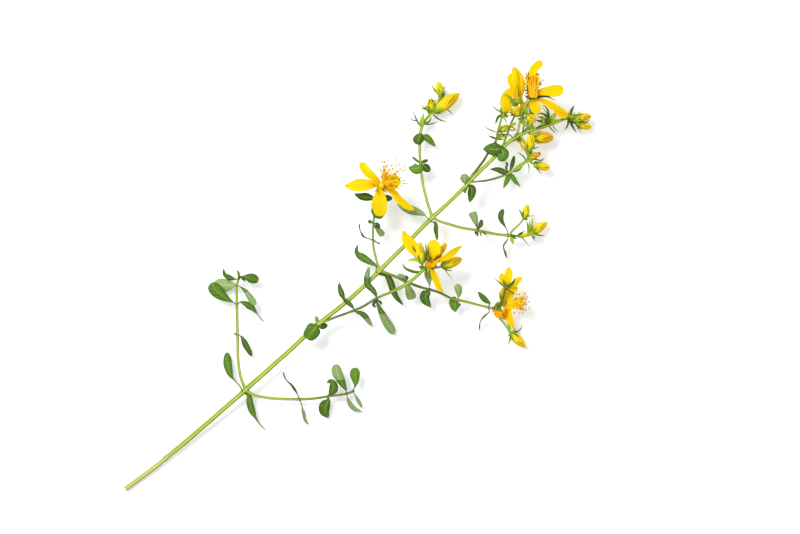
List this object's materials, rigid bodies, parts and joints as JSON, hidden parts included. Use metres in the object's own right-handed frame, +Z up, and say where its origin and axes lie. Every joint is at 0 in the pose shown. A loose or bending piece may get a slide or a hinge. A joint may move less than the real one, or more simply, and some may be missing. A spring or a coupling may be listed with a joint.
{
  "type": "common st johns wort",
  "caption": "Cut flowering sprig lying down: a long green stem with opposite branches and leaf pairs, yellow five-petalled flowers with stamens, and buds.",
  "frame": {"origin": "middle of the sprig's footprint, on the surface that it lies on", "axes": "+X along the main stem from its cut end to its tip, +Z up from the surface"},
  "size_m": [0.2393, 0.106, 0.0206],
  "materials": {
    "stem": "satin",
    "leaf": "matte",
    "petal": "satin",
    "stamen": "matte",
    "bud": "satin",
    "sepal": "matte"
  },
  "bodies": {
    "root": {"main_stem": "stem", "branch_lower_left": "stem", "branch_lower_right": "stem", "branch_to_cluster": "stem", "branch_to_flower": "stem", "branch_far_right": "stem", "branch_upper_left": "stem", "branch_upper_right": "stem", "branch_top_left": "stem", "branch_top_right": "stem", "stalk_top_bud": "stem", "stalk_top_flower": "stem", "leaves_main_1": "leaf", "leaves_main_2": "leaf", "leaves_main_3": "leaf", "leaves_main_4": "leaf", "leaves_main_5": "leaf", "leaves_main_6": "leaf", "leaves_lower_left_1": "leaf", "leaves_lower_left_2": "leaf", "leaves_lower_left_3": "leaf", "leaves_lower_left_4": "leaf", "leaves_lower_right_1": "leaf", "leaves_lower_right_2": "leaf", "leaves_lower_right_3": "leaf", "leaves_lower_right_4": "leaf", "leaves_to_cluster_1": "leaf", "leaves_to_cluster_2": "leaf", "leaves_to_flower_1": "leaf", "leaves_to_flower_2": "leaf", "leaves_to_flower_3": "leaf", "leaves_far_right_1": "leaf", "leaves_far_right_2": "leaf", "leaves_far_right_3": "leaf", "leaves_far_right_4": "leaf", "leaves_upper_left_1": "leaf", "leaves_upper_left_2": "leaf", "leaves_upper_right_1": "leaf", "leaves_upper_right_2": "leaf", "leaves_top_right": "leaf", "open_flower_calyx": "sepal", "open_flower_petals": "petal", "open_flower_stamens": "stamen", "cluster_petals": "petal", "cluster_buds": "bud", "right_upper_flower": "petal", "right_flower_petals": "petal", "right_flower_stamens": "stamen", "right_lower_bud": "bud", "upper_left_buds": "bud", "upper_right_buds": "bud", "top_right_buds": "bud", "top_left_bud": "bud", "top_bud": "petal", "top_flower_petals": "petal", "top_flower_stamens": "stamen", "top_small_buds": "bud", "top_orange_bud": "bud", "terminal_buds": "bud"}
  },
  "joints": []
}
